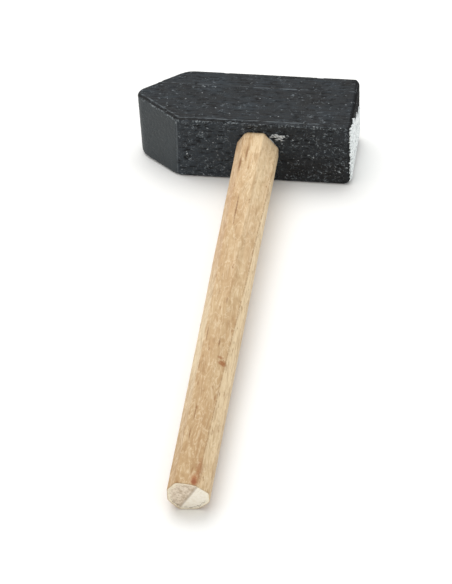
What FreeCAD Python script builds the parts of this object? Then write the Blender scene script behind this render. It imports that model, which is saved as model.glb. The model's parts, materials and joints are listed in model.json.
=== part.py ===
import FreeCAD, Part
import math
import os

import Sketcher
from FreeCAD import Placement, Rotation, Vector

# A small cross-peen hammer made of wood, lying on its side.
# Every piece is drawn in the hammer's own axes: X along the head with the striking face at +X,
# Y along the handle with the head's underside at 0 and the butt towards -Y, Z from the lower
# cheek at 0 up to the upper cheek. X is 0 on the handle's axis. One rest placement, the same for
# every piece, then lays the hammer on the ground: on the head's lower edge and on the butt.

SHEET = "Dimensions"

# name, millimetres (degrees for the angles), what it is
DIMENSIONS = [
    ("head_height", 20.0, "head block, underside to crown"),
    ("head_thickness", 15.0, "head block, cheek to cheek"),
    ("face_reach", 20.6, "handle axis to the striking face"),
    ("bevel_reach", 17.9, "handle axis to where the two bevels of the peen start"),
    ("bevel_length", 11.0, "start of the bevels to where they would meet"),
    ("nose_radius", 2.6, "rounding of the peen, where the bevels meet"),
    ("edge_radius", 0.9, "softened outer edges of the head block"),
    ("axis_rise", 8.2, "handle axis above the lower cheek"),
    ("tenon_diameter", 7.0, "round tenon of the handle"),
    ("glue_gap", 0.1, "dried glue all round the tenon and under its shoulder"),
    ("glue_spread", 8.2, "diameter of the glue under the shoulder"),
    ("shank_length", 125.3, "underside of the head to the far edge of the butt"),
    ("neck_width", 9.1, "handle at the head, across its flats"),
    ("neck_height", 9.0, "handle at the head, top to bottom"),
    ("wide_flat_run", 3.1, "wide upper flat at the head, across"),
    ("wide_flat_drop", 3.7, "wide upper flat at the head, down"),
    ("narrow_flat_run", 1.9, "narrow upper flat at the head, across"),
    ("narrow_flat_drop", 2.9, "narrow upper flat at the head, down"),
    ("low_flat_cut", 2.6, "lower flats at the head, across and up"),
    ("butt_ratio", 0.935, "handle's thickness at the butt over that at the head"),
    ("shank_edge_chamfer", 0.25, "softened long edges of the handle"),
    ("butt_lean", 17.0, "degrees that the cut end leans, its top edge furthest out"),
    ("nip_lean", 7.0, "degrees that each half of the cut end falls away from the ridge"),
    ("ridge_turn", 20.0, "degrees that the ridge on the cut end is turned from upright"),
    ("wedge_thickness", 1.6, "wedge at the crown"),
    ("wedge_tip", 0.5, "wedge at its thin end, and the saw kerf"),
    ("wedge_length", 12.0, "wedge, crown to thin end"),
    ("kerf_depth", 14.0, "saw kerf in the tenon, from its end"),
    ("coat_thickness", 0.2, "silver paint on the striking face"),
]

NIP_SIZE = 40.0      # side of the square that each half of the cut end is trimmed with
TRIM_DIAMETER = 16.0  # outside of the ring that trims the wedge to the tenon
NEAR = 0.01          # how close an edge must lie to a level to count as on it


def make_sheet(doc):
    sheet = doc.addObject("Spreadsheet::Sheet", SHEET)
    for row, (alias, value, note) in enumerate(DIMENSIONS, start=1):
        sheet.set(f"A{row}", note)
        sheet.set(f"B{row}", str(value))
        sheet.setAlias(f"B{row}", alias)
    doc.recompute()
    return sheet


def ref(alias):
    return f"<<{SHEET}>>.{alias}"


def new_body(doc, label):
    body = doc.addObject("PartDesign::Body", label)
    body.Label = label
    return body


def origin_plane(body, role):
    return next(item for item in body.Origin.OriginFeatures if item.Role == role)


def new_sketch(body, name, role, offset=None, offset_z=None):
    """A sketch on one of the body's own planes; offset_z moves it along the plane's normal."""
    sketch = body.newObject("Sketcher::SketchObject", name)
    sketch.AttachmentSupport = [(origin_plane(body, role), "")]
    sketch.MapMode = "FlatFace"
    if offset is not None:
        sketch.AttachmentOffset = offset
    if offset_z is not None:
        sketch.setExpression("AttachmentOffset.Base.z", offset_z)
    return sketch


def add_loop(sketch, points):
    """Closed loop of lines through the points, joined end to end; gives the first line's number."""
    first = len(sketch.Geometry)
    count = len(points)
    for i, point in enumerate(points):
        sketch.addGeometry(Part.LineSegment(Vector(*point, 0), Vector(*points[(i + 1) % count], 0)))
    for i in range(count):
        after = first + (i + 1) % count
        sketch.addConstraint(Sketcher.Constraint("Coincident", first + i, 2, after, 1))
    return first


def place(sketch, line, end, across, up):
    """Fixes one end of a line at two distances from the sketch's origin, each given as an expression."""
    for kind, expression in (("DistanceX", across), ("DistanceY", up)):
        point = sketch.getPoint(line, end)
        value = point.x if kind == "DistanceX" else point.y
        number = sketch.addConstraint(Sketcher.Constraint(kind, -1, 1, line, end, value))
        sketch.setExpression(f"Constraints[{number}]", expression)


def draw_polygon(sketch, corners):
    """A polygon whose corners are pairs of expressions, first drawn at their values on the sheet."""
    values = [tuple(evaluate(sketch, text) for text in corner) for corner in corners]
    first = add_loop(sketch, values)
    for i, (across, up) in enumerate(corners):
        place(sketch, first + i, 1, across, up)


def evaluate(item, expression):
    value = item.evalExpression(expression)
    return float(getattr(value, "Value", value))


def draw_circle(sketch, up, diameter):
    """A circle on the sketch's upright axis."""
    centre = Vector(0, evaluate(sketch, up), 0)
    radius = evaluate(sketch, diameter) / 2
    number = sketch.addGeometry(Part.Circle(centre, Vector(0, 0, 1), radius))
    sketch.addConstraint(Sketcher.Constraint("PointOnObject", number, 3, -2))
    rise = sketch.addConstraint(Sketcher.Constraint("DistanceY", -1, 1, number, 3, centre.y))
    sketch.setExpression(f"Constraints[{rise}]", up)
    size = sketch.addConstraint(Sketcher.Constraint("Diameter", number, 2 * radius))
    sketch.setExpression(f"Constraints[{size}]", diameter)


def add_pad(body, sketch, name, length, reverse=False, both_ways=False):
    pad = body.newObject("PartDesign::Pad", name)
    pad.Profile = sketch
    pad.setExpression("Length", length)
    pad.Reversed = reverse
    pad.Midplane = both_ways
    return pad


def add_pocket(body, sketch, name, both_ways=False, reverse=False):
    """Cuts right through, and makes sure that something was cut."""
    before = body.Shape.Volume
    pocket = body.newObject("PartDesign::Pocket", name)
    pocket.Profile = sketch
    pocket.Type = "ThroughAll"
    pocket.Midplane = both_ways
    pocket.Reversed = reverse
    body.Document.recompute()
    if body.Shape.Volume >= before:
        raise RuntimeError(f"{name} cut nothing")
    return pocket


def add_loft(body, sketches, name):
    loft = body.newObject("PartDesign::AdditiveLoft", name)
    loft.Profile = sketches[0]
    loft.Sections = sketches[1:]
    loft.Ruled = True
    body.Document.recompute()
    return loft


def add_fillet(body, base, name, edges, radius):
    fillet = body.newObject("PartDesign::Fillet", name)
    fillet.Base = (base, edges)
    fillet.setExpression("Radius", radius)
    body.Document.recompute()
    return fillet


def edge_names(shape, wanted):
    return [f"Edge{i}" for i, edge in enumerate(shape.Edges, start=1) if wanted(edge)]


def make_head_block(doc):
    """Block with a striking face at one end and a blunt cross peen at the other, and a round eye."""
    body = new_body(doc, "head_block")
    outline = new_sketch(body, "side_outline", "XY_Plane")
    height = ref("head_height")
    face = ref("face_reach")
    bevel = f"-{ref('bevel_reach')}"
    draw_polygon(outline, [
        (face, "0"),
        (face, height),
        (bevel, height),
        (f"{bevel} - {ref('bevel_length')}", f"{height} / 2"),
        (bevel, "0"),
    ])
    block = add_pad(body, outline, "block", ref("head_thickness"))
    doc.recompute()

    bevels_start = evaluate(block, bevel)
    peen = edge_names(block.Shape, lambda edge: edge.BoundBox.XMax < bevels_start)
    nose = add_fillet(body, block, "nose", peen, ref("nose_radius"))
    cheeks = (0, evaluate(block, ref("head_thickness")))
    names = edge_names(nose.Shape, lambda edge: is_outer_edge(edge, bevels_start, cheeks))
    add_fillet(body, nose, "soft_edges", names, ref("edge_radius"))

    eye = new_sketch(body, "eye_circle", "XZ_Plane")
    draw_circle(eye, ref("axis_rise"), f"{ref('tenon_diameter')} + 2 * {ref('glue_gap')}")
    add_pocket(body, eye, "eye", both_ways=True)
    return body


def is_outer_edge(edge, bevels_start, cheeks):
    """True for the edges round both cheeks and for the upright ones that aren't on the nose."""
    box = edge.BoundBox
    on_cheek = any(abs(box.ZMin - z) < NEAR and abs(box.ZMax - z) < NEAR for z in cheeks)
    return on_cheek or box.XMin > bevels_start - NEAR


def draw_shank_section(sketch, ratio):
    """Eight-sided section of the handle, its two upper flats unequal, at a ratio of its size at the head."""
    rise = ref("axis_rise")
    side = f"{ratio} * {ref('neck_width')} / 2"
    half = f"{ratio} * {ref('neck_height')} / 2"
    wide_run = f"{ratio} * {ref('wide_flat_run')}"
    wide_drop = f"{ratio} * {ref('wide_flat_drop')}"
    narrow_run = f"{ratio} * {ref('narrow_flat_run')}"
    narrow_drop = f"{ratio} * {ref('narrow_flat_drop')}"
    low = f"{ratio} * {ref('low_flat_cut')}"
    draw_polygon(sketch, [
        (f"{side} - {wide_run}", f"{rise} + {half}"),
        (f"-({side}) + {narrow_run}", f"{rise} + {half}"),
        (f"-({side})", f"{rise} + {half} - {narrow_drop}"),
        (f"-({side})", f"{rise} - {half} + {low}"),
        (f"-({side}) + {low}", f"{rise} - {half}"),
        (f"{side} - {low}", f"{rise} - {half}"),
        (side, f"{rise} - {half} + {low}"),
        (side, f"{rise} + {half} - {wide_drop}"),
    ])


def nip_plane(sheet, lean):
    """Plane of one half of the cut end: through the ridge, leaning to one side of it."""
    centre = Vector(0, sheet.axis_rise, sheet.shank_length - ridge_setback(sheet))
    down = Rotation(Vector(1, 0, 0), sheet.butt_lean)
    turn = Rotation(Vector(0, 0, 1), -sheet.ridge_turn)
    side = Rotation(Vector(0, 1, 0), lean)
    return Placement(centre, down.multiply(turn).multiply(side))


def ridge_setback(sheet):
    """How far the cut end's middle lies behind its furthest edge, which is the top one."""
    return butt_half_height(sheet) * math.tan(math.radians(sheet.butt_lean))


def butt_half_height(sheet):
    return sheet.butt_ratio * sheet.neck_height / 2


def draw_trim_square(sketch):
    half = NIP_SIZE / 2
    add_loop(sketch, [(half, half), (-half, half), (-half, -half), (half, -half)])


def draw_kerf(sketch, depth):
    """Upright section of the kerf, opened by the wedge and sawn a little deeper."""
    top = ref("head_height")
    wide = f"{ref('wedge_thickness')} / 2"
    thin = f"{ref('wedge_tip')} / 2"
    wedge_end = f"{top} - {ref('wedge_length')}"
    draw_polygon(sketch, [
        (wide, top),
        (f"-({wide})", top),
        (f"-({thin})", wedge_end),
        (f"-({thin})", f"{top} - {depth}"),
        (thin, f"{top} - {depth}"),
        (thin, wedge_end),
    ])


def make_handle(doc, sheet):
    """Eight-sided stick with a round tenon, a saw kerf for the wedge and a nipped end."""
    body = new_body(doc, "handle")
    neck = new_sketch(body, "neck_section", "XZ_Plane", offset_z=ref("glue_gap"))
    draw_shank_section(neck, "1")
    butt = new_sketch(body, "butt_section", "XZ_Plane", offset_z=ref("shank_length"))
    draw_shank_section(butt, ref("butt_ratio"))
    doc.recompute()
    shank = add_loft(body, [neck, butt], "shank")

    for name, lean in (("left_nip", sheet.nip_lean), ("right_nip", -sheet.nip_lean)):
        square = new_sketch(body, name + "_square", "XZ_Plane", offset=nip_plane(sheet, lean))
        draw_trim_square(square)
        nip = add_pocket(body, square, name, reverse=True)

    half_length = evaluate(shank, f"{ref('shank_length')} / 2")
    names = edge_names(nip.Shape, lambda edge: edge.BoundBox.YLength > half_length)
    chamfer = body.newObject("PartDesign::Chamfer", "soft_edges")
    chamfer.Base = (nip, names)
    chamfer.setExpression("Size", ref("shank_edge_chamfer"))
    doc.recompute()

    round_end = new_sketch(body, "tenon_circle", "XZ_Plane", offset_z=ref("glue_gap"))
    draw_circle(round_end, ref("axis_rise"), ref("tenon_diameter"))
    add_pad(body, round_end, "tenon", f"{ref('head_height')} + {ref('glue_gap')}", reverse=True)
    doc.recompute()

    kerf = new_sketch(body, "kerf_section", "XY_Plane")
    draw_kerf(kerf, ref("kerf_depth"))
    add_pocket(body, kerf, "kerf", both_ways=True)
    return body


def make_eye_wedge(doc):
    """Thin hardwood wedge, driven into the kerf and trimmed to the round of the tenon."""
    body = new_body(doc, "eye_wedge")
    side = new_sketch(body, "taper", "XY_Plane", offset_z=ref("axis_rise"))
    top = ref("head_height")
    low = f"{top} - {ref('wedge_length')}"
    wide = f"{ref('wedge_thickness')} / 2"
    thin = f"{ref('wedge_tip')} / 2"
    draw_polygon(side, [(wide, top), (f"-({wide})", top), (f"-({thin})", low), (thin, low)])
    add_pad(body, side, "slip", ref("tenon_diameter"), both_ways=True)
    doc.recompute()
    trim = new_sketch(body, "tenon_round", "XZ_Plane")
    draw_circle(trim, ref("axis_rise"), str(TRIM_DIAMETER))
    draw_circle(trim, ref("axis_rise"), ref("tenon_diameter"))
    add_pocket(body, trim, "trim", both_ways=True)
    return body


def make_glue_line(doc):
    """Dried glue: a sleeve round the tenon and a thin ring under the shoulder."""
    body = new_body(doc, "glue_line")
    half = new_sketch(body, "half_section", "XY_Plane", offset_z=ref("axis_rise"))
    inner = f"{ref('tenon_diameter')} / 2"
    outer = f"{inner} + {ref('glue_gap')}"
    spread = f"{ref('glue_spread')} / 2"
    top = ref("head_height")
    draw_polygon(half, [
        (inner, top),
        (inner, f"-{ref('glue_gap')}"),
        (spread, f"-{ref('glue_gap')}"),
        (spread, "0"),
        (outer, "0"),
        (outer, top),
    ])
    sleeve = body.newObject("PartDesign::Revolution", "sleeve")
    sleeve.Profile = half
    sleeve.ReferenceAxis = (half, ["V_Axis"])
    sleeve.Angle = 360
    return body


def make_face_coat(doc):
    """Brushed silver paint on the flat of the striking face."""
    body = new_body(doc, "face_coat")
    flat = new_sketch(body, "flat_outline", "YZ_Plane", offset_z=ref("face_reach"))
    edge = ref("edge_radius")
    far = f"{ref('head_height')} - {edge}"
    top = f"{ref('head_thickness')} - {edge}"
    draw_polygon(flat, [(edge, edge), (far, edge), (far, top), (edge, top)])
    add_pad(body, flat, "paint", ref("coat_thickness"))
    return body


def rest_placement(sheet, bodies):
    """Tips the hammer until its butt meets the ground, then puts the ground's middle at the origin."""
    radius = sheet.edge_radius
    low_edge_y = ridge_setback(sheet) * 2 - sheet.shank_length
    low_edge_z = sheet.axis_rise - butt_half_height(sheet)
    run = radius - low_edge_y
    rise = low_edge_z - radius
    tip = math.atan2(rise, run) + math.asin(radius / math.hypot(run, rise))
    turn = Placement(Vector(), Rotation(Vector(1, 0, 0), math.degrees(tip)))
    whole = Part.makeCompound([body.Shape for body in bodies])
    whole.Placement = turn
    box = whole.optimalBoundingBox(False, False)
    shift = Vector(-box.Center.x, -box.Center.y, -box.ZMin)
    print(f"tipped {math.degrees(tip):.3f} degrees, shifted {shift.x:.3f} {shift.y:.3f} {shift.z:.3f}")
    return Placement(shift, turn.Rotation)


def check(doc, bodies):
    for item in doc.Objects:
        if "Invalid" in item.State or "Error" in item.State:
            raise RuntimeError(f"{item.Label} did not build: {item.State}")
    for body in bodies:
        shape = body.Shape
        if shape.isNull() or not shape.isValid() or len(shape.Solids) != 1:
            raise RuntimeError(f"{body.Label} is not one valid solid")
        print(f"{body.Label}: {shape.Volume:.1f} cubic mm")


def main():
    doc = FreeCAD.newDocument("cross_peen_hammer")
    sheet = make_sheet(doc)
    bodies = [
        make_head_block(doc),
        make_handle(doc, sheet),
        make_eye_wedge(doc),
        make_glue_line(doc),
        make_face_coat(doc),
    ]
    doc.recompute()
    rest = rest_placement(sheet, bodies)
    for body in bodies:
        body.Placement = rest
    doc.recompute()
    check(doc, bodies)
    os.makedirs("parts", exist_ok=True)
    for body in bodies:
        body.Shape.exportStep(f"parts/{body.Label}.step")


main()
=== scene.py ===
import json
import math

import bmesh
import bpy
from mathutils import Matrix, Vector


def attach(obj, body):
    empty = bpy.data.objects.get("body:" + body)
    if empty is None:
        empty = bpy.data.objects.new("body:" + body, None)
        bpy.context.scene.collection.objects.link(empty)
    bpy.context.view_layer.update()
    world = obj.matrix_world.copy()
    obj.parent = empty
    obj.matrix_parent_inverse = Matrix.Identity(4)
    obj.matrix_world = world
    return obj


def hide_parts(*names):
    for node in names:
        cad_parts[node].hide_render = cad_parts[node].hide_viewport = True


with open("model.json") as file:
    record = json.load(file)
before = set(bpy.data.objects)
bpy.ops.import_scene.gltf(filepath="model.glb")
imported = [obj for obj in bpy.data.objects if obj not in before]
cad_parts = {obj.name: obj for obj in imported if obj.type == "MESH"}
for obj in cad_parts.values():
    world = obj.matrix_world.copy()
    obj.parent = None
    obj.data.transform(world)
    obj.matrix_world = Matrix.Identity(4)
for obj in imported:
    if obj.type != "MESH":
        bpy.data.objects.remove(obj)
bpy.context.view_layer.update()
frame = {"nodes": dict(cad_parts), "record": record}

# Shapes are drawn in millimetres in the hammer's own axes: x along the head towards the striking
# face, y along the handle with the head's underside at 0 and the butt at -y, z from the lower cheek
# up. x is 0 on the handle's axis. hammerAxes then lays them where the CAD model lies, in metres.
mm = 0.001


def readAxes():
    mounts = {mount["name"]: mount for mount in frame["record"]["mounts"]}
    alongHead = Vector(mounts["striking_face"]["axis"])
    outOfCheek = Vector(mounts["upper_cheek"]["axis"])
    return Matrix((alongHead, outOfCheek.cross(alongHead), outOfCheek)).transposed()


def reach(node):
    # lowest and highest corner of a CAD node along the hammer's axes, in metres
    points = [axesTurn.transposed() @ vertex.co for vertex in frame["nodes"][node].data.vertices]
    low = Vector([min(point[i] for point in points) for i in range(3)])
    high = Vector([max(point[i] for point in points) for i in range(3)])
    return low, high


axesTurn = readAxes()
blockLow, blockHigh = reach("head_block")
glueLow, glueHigh = reach("glue_line")
handleLow, handleHigh = reach("handle")
wedgeLow, wedgeHigh = reach("eye_wedge")
axesStart = Vector(((glueLow.x + glueHigh.x) / 2, blockLow.y, blockLow.z))
hammerAxes = axesTurn.to_4x4() @ Matrix.Translation(axesStart) @ Matrix.Scale(mm, 4)

# sizes taken from the CAD model, in millimetres
faceX = (blockHigh.x - axesStart.x) / mm
headHeight = (blockHigh.y - blockLow.y) / mm
headThickness = (blockHigh.z - blockLow.z) / mm
axisRise = ((glueLow.z + glueHigh.z) / 2 - axesStart.z) / mm
buttY = (handleLow.y - axesStart.y) / mm
handleWide = (handleHigh.x - handleLow.x) / mm
wedgeEndY = (wedgeLow.y - axesStart.y) / mm
wedgeWide = (wedgeHigh.x - wedgeLow.x) / mm
glueGap = -(glueLow.y - axesStart.y) / mm
glueWide = (glueHigh.x - glueLow.x) / mm
tenonRadius = (wedgeHigh.z - wedgeLow.z) / mm / 2
eyeRadius = tenonRadius + glueGap


def setInputs(tree, node, inputs):
    # inputs are values, sockets or nodes, by number or by name
    pairs = inputs.items() if isinstance(inputs, dict) else enumerate(inputs)
    for socket, value in pairs:
        if isinstance(value, bpy.types.Node):
            value = next(output for output in value.outputs if output.enabled)
        if isinstance(value, bpy.types.NodeSocket):
            tree.links.new(value, node.inputs[socket])
        elif value is not None:
            node.inputs[socket].default_value = value


def addNode(tree, kind, inputs=(), **settings):
    # kind is Blender's own name, less the ShaderNode that most of them begin with, and then the
    # operation, where the node has one
    kind, *operation = kind.split()
    if not kind.startswith(("Geometry", "Function", "NodeGroup")):
        kind = "ShaderNode" + kind
    node = tree.nodes.new(kind)
    if operation:
        node.operation = operation[0]
    for name, value in settings.items():
        setattr(node, name, value)
    setInputs(tree, node, inputs)
    return node


def linear(code):
    # sRGB hex to the linear colour that the shaders take
    channels = [int(code[i:i + 2], 16) / 255 for i in (1, 3, 5)]
    return [c / 12.92 if c <= 0.04045 else ((c + 0.055) / 1.055) ** 2.4 for c in channels] + [1.0]


shot = {
    "azimuth": 7.31,      # degrees round from the handle's line, towards the striking face
    "elevation": 35.82,   # degrees above the head's cheek
    "roll": -0.97,
    "distance": 1099.6,   # from the corner of striking face, underside and lower cheek
    "across": -27.54,     # sideways and upward from there, in the picture plane
    "upward": -23.4,
    "lens": 308.2,
}


def makeCamera():
    azimuth, elevation, roll = (math.radians(shot[k]) for k in ("azimuth", "elevation", "roll"))
    flat = Vector((math.sin(azimuth), -math.cos(azimuth), 0))
    back = flat * math.cos(elevation) + Vector((0, 0, math.sin(elevation)))
    right = Vector((math.cos(azimuth), math.sin(azimuth), 0))
    over = back.cross(right)
    across = right * math.cos(roll) + over * math.sin(roll)
    upward = over * math.cos(roll) - right * math.sin(roll)
    place = Vector((faceX, 0, 0)) + back * shot["distance"]
    place += across * shot["across"] + upward * shot["upward"]
    turn = axesTurn @ Matrix((across, upward, back)).transposed()
    data = bpy.data.cameras.new("camera")
    data.lens = shot["lens"]
    data.clip_end = 10
    camera = newObject("camera", data)
    camera.matrix_world = Matrix.Translation(hammerAxes @ place) @ turn.to_4x4()
    bpy.context.scene.camera = camera
    print(f"camera: lens {data.lens:.0f}")


studio = {
    "sky": 0.86,
    "keyPower": 1.7,
    "keySize": 0.5,
    "keyPlace": (-0.12, 0.16, 0.5),
    "floorSize": 6.0,
    "floorColour": "#f6f6f4",
}


def makeStudio():
    bpy.context.scene.view_settings.view_transform = "Standard"
    world = bpy.data.worlds.new("studio")
    world.use_nodes = True
    setInputs(world.node_tree, world.node_tree.nodes["Background"], [(1, 1, 1, 1), studio["sky"]])
    bpy.context.scene.world = world

    light = bpy.data.lights.new("softbox", "AREA")
    light.size = studio["keySize"]
    light.energy = studio["keyPower"]
    softbox = newObject("softbox", light)
    softbox.location = studio["keyPlace"]
    softbox.rotation_euler = (-softbox.location).to_track_quat("-Z", "Y").to_euler()

    bpy.ops.mesh.primitive_plane_add(size=studio["floorSize"])
    floor = bpy.context.object
    floor.name = "floor"
    floor.data.materials.append(mattWhitePaper())
    print("studio: sky, softbox and floor")


def mattWhitePaper():
    # plain matt card: an even pale ground with no texture of its own
    material, tree, shader = newMaterial("mattWhitePaper")
    setInputs(tree, shader, {
        "Base Color": linear(studio["floorColour"]), "Roughness": 0.9, "Specular IOR Level": 0.2})
    return material


def newObject(name, data):
    thing = bpy.data.objects.new(name, data)
    bpy.context.collection.objects.link(thing)
    return thing


def meshOf(shape, name):
    bmesh.ops.recalc_face_normals(shape, faces=shape.faces)
    mesh = bpy.data.meshes.new(name)
    shape.to_mesh(mesh)
    shape.free()
    return mesh


def joinRings(shape, rings):
    # faces from each ring of vertices to the next
    for ring, after in zip(rings, rings[1:]):
        for i in range(len(ring)):
            j = (i + 1) % len(ring)
            shape.faces.new((ring[i], ring[j], after[j], after[i]))


def closedStack(rings, name):
    # a closed mesh from rings of points, with a flat face at each end
    shape = bmesh.new()
    rings = [[shape.verts.new(point) for point in ring] for ring in rings]
    shape.faces.new(rings[0][::-1])
    shape.faces.new(rings[-1])
    joinRings(shape, rings)
    return meshOf(shape, name)


def cutAway(thing, cutter):
    cut = thing.modifiers.new("cut", "BOOLEAN")
    cut.operation = "DIFFERENCE"
    cut.object = cutter


def makeEven(thing, fineness):
    # faces of one size all over, in millimetres, so that the surface can be worked
    even = thing.modifiers.new("even", "REMESH")
    even.mode = "VOXEL"
    even.voxel_size = fineness


def bake(thing):
    # the evaluated shape becomes the object's own plain mesh, and the modifiers go
    graph = bpy.context.evaluated_depsgraph_get()
    graph.update()
    mesh = bpy.data.meshes.new_from_object(thing.evaluated_get(graph), depsgraph=graph)
    thing.modifiers.clear()
    thing.data = mesh


def finishPiece(thing, node):
    # lays the piece in the row frame with its place in its mesh
    thing.data.transform(hammerAxes)
    thing.data.name = thing.name
    for polygon in thing.data.polygons:
        polygon.use_smooth = True
    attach(thing, "root")
    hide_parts(node)
    print(f"{thing.name}: {len(thing.data.polygons)} faces")


def startTree(name, sizes):
    # a Geometry Nodes tree with one named number input for each size, its geometry, and where
    # each point of it lies
    tree = bpy.data.node_groups.new(name, "GeometryNodeTree")
    tree.interface.new_socket("Geometry", in_out="INPUT", socket_type="NodeSocketGeometry")
    tree.interface.new_socket("Geometry", in_out="OUTPUT", socket_type="NodeSocketGeometry")
    for size in sizes:
        tree.interface.new_socket(size, in_out="INPUT", socket_type="NodeSocketFloat")
    given = addNode(tree, "NodeGroupInput").outputs
    return tree, given, addNode(tree, "GeometryNodeInputPosition")


def endTree(tree, geometry, material):
    real = addNode(tree, "GeometryNodeRealizeInstances", [geometry])
    painted = addNode(tree, "GeometryNodeSetMaterial", {"Geometry": real, "Material": material})
    addNode(tree, "NodeGroupOutput", [painted])
    return tree


def useTree(thing, tree, sizes):
    # the sizes go to the modifier's inputs before it is first evaluated
    modifier = thing.modifiers.new(tree.name, "NODES")
    modifier.node_group = tree
    for item in tree.interface.items_tree:
        if item.in_out == "INPUT" and item.name in sizes:
            modifier[item.identifier] = float(sizes[item.name])
    bake(thing)


def noteDown(tree, geometry, notes):
    # what a material needs to know of the shape, as named attributes
    for name, value in notes.items():
        inputs = {"Geometry": geometry, "Name": name, "Value": value}
        geometry = addNode(tree, "GeometryNodeStoreNamedAttribute", inputs, data_type="FLOAT")
    return geometry


def readNote(tree, name):
    return addNode(tree, "Attribute", attribute_name=name).outputs["Fac"]


def newMaterial(name):
    material = bpy.data.materials.new(name)
    material.use_nodes = True
    tree = material.node_tree
    return material, tree, tree.nodes["Principled BSDF"]


def hammerPosition(tree):
    # surface position in millimetres along the hammer's axes, as the shapes were drawn
    return addNode(tree, "Mapping", {
        "Vector": addNode(tree, "TexCoord").outputs["Object"],
        "Location": axesTurn @ axesStart,
        "Rotation": axesTurn.to_euler(),
        "Scale": (mm, mm, mm),
    }, vector_type="TEXTURE")


def mask(tree, *parts):
    # the product of its parts, each a number, a socket, or a value with where it counts as 0, where
    # it counts as full and, if that isn't 1, how much full is
    product = None
    for part in parts:
        if isinstance(part, tuple):
            value, start, full, most = (*part, 1.0)[:4]
            part = addNode(tree, "MapRange", [value, start, full, 0.0, most])
        if product is not None:
            part = addNode(tree, "Math MULTIPLY", [product, part])
        product = part
    return product


def band(tree, value, low, high, soft):
    # 1 where a value lies between two bounds, with soft sides
    return mask(tree, (value, low - soft, low + soft), (value, high + soft, high - soft))


def lay(tree, under, over, *parts):
    # lays one colour over another through a mask
    under, over = (linear(colour) if isinstance(colour, str) else colour for colour in (under, over))
    inputs = {0: mask(tree, *parts), 6: under, 7: over}
    return addNode(tree, "Mix", inputs, data_type="RGBA")


def grainNoise(tree, place, waves, detail, roughness=0.5, distortion=0.0):
    # noise with so many waves to the millimetre: one number for every way, or one for each axis
    waves = (waves,) * 3 if isinstance(waves, float) else waves
    fitted = addNode(tree, "VectorMath MULTIPLY", [place, waves])
    return addNode(tree, "TexNoise", {
        "Vector": fitted, "Scale": 1.0, "Detail": detail, "Roughness": roughness, "Distortion": distortion})


def eitherWay(tree, noise, amount):
    # a noise as a push in or out
    centred = addNode(tree, "Math SUBTRACT", [noise, 0.5])
    return addNode(tree, "Math MULTIPLY", [centred, amount])


def fineLines(tree, noise, halfWidth, core, most):
    # thin wavering lines, where a noise crosses its middle
    centred = addNode(tree, "Math SUBTRACT", [noise, 0.5])
    away = addNode(tree, "Math ABSOLUTE", [centred])
    return mask(tree, (away, halfWidth, core, most))


def bumps(tree, height, strength, depth):
    # relief too fine for the mesh, its depth in millimetres
    return addNode(tree, "Bump", {"Strength": strength, "Distance": depth * mm, "Height": height})


head = {
    "bevelStart": -17.9,   # where the bevels of the peen leave the block
    "bevelLength": 11.35,
    "noseUpper": 2.9,      # rounding of the peen at the upper cheek
    "noseLower": 4.5,      # and at the lower one, where it is worn blunter
    "crownCorner": 5.8,    # the far bevel runs into the crown in a curve
    "keelUpper": 0.3,      # the near bevel meets the underside sharply above, in a curve below
    "keelLower": 4.5,
    "arcSteps": 10,
    "softest": 1.2,        # rounding of the striking face's edges; the others are shares of it
    "edgeShares": {"lower": 0.7, "upper": 0.75, "upperNear": 0.3, "face": 1.0, "toe": 1.6},
    "edgeSteps": 4,
    "eyeSides": 96,
    "fineness": 0.235,     # size of the mesh's faces
    "relief": {
        "grainDepth": 0.13,
        "poreDepth": 0.26,
        "grit": 0.09,
        "ledgeHeight": 0.13,
        "ledgeAt": 14.3,
        "grooveDepth": 0.3,
        "grooveIn": 0.52,    # from the cheek's near edge
        "grooveEnd": 1.0,
    },
    "colours": {
        "black": "#080a0c",
        "greyer": "#20282e",
        "dashes": "#08090a",
        "underside": "#3a4046",
        "bevel": "#3a3f41",
        "overFace": "#060708",
        "darkerToFace": "#0c0d0e",
        "darkerLowPatch": "#0f0e0e",
        # painted shade in the pores and the groove
        "shadeInHollows": "#030303",
        # painted highlight on the groove's inner lip
        "lip": "#757c7f",
        "curls": "#848c91",
        "crumbs": "#ccd2d4",
        # painted highlight along the near edges
        "edgeHighlight": "#9aa1a3",
        # painted highlight along the ledge
        "ledge": "#8b9194",
    },
}


def arc(corner, before, after, radius):
    # corner of an outline rounded between its two neighbours
    toBefore, toAfter = (before - corner).normalized(), (after - corner).normalized()
    half = toBefore.angle(toAfter) / 2
    centre = corner + (toBefore + toAfter).normalized() * radius / math.sin(half)
    first = corner + toBefore * radius / math.tan(half) - centre
    last = corner + toAfter * radius / math.tan(half) - centre
    points = []
    for step in range(head["arcSteps"] + 1):
        share = step / head["arcSteps"]
        points.append(centre + radius * first.lerp(last, share).normalized())
    return points


def headOutline(nose, keel, height):
    # outline at one height, from the face's crown corner round the peen to its underside corner
    start = head["bevelStart"]
    tipX = start - head["bevelLength"]
    faceCrown, faceUnder = Vector((faceX, headHeight)), Vector((faceX, 0))
    crown, tip, under = Vector((start, headHeight)), Vector((tipX, headHeight / 2)), Vector((start, 0))
    points = [faceCrown] + arc(crown, faceCrown, tip, head["crownCorner"]) + arc(tip, crown, under, nose)
    points += arc(under, tip, faceUnder, keel) + [faceUnder]
    return [(point.x, point.y, height) for point in points]


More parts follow.
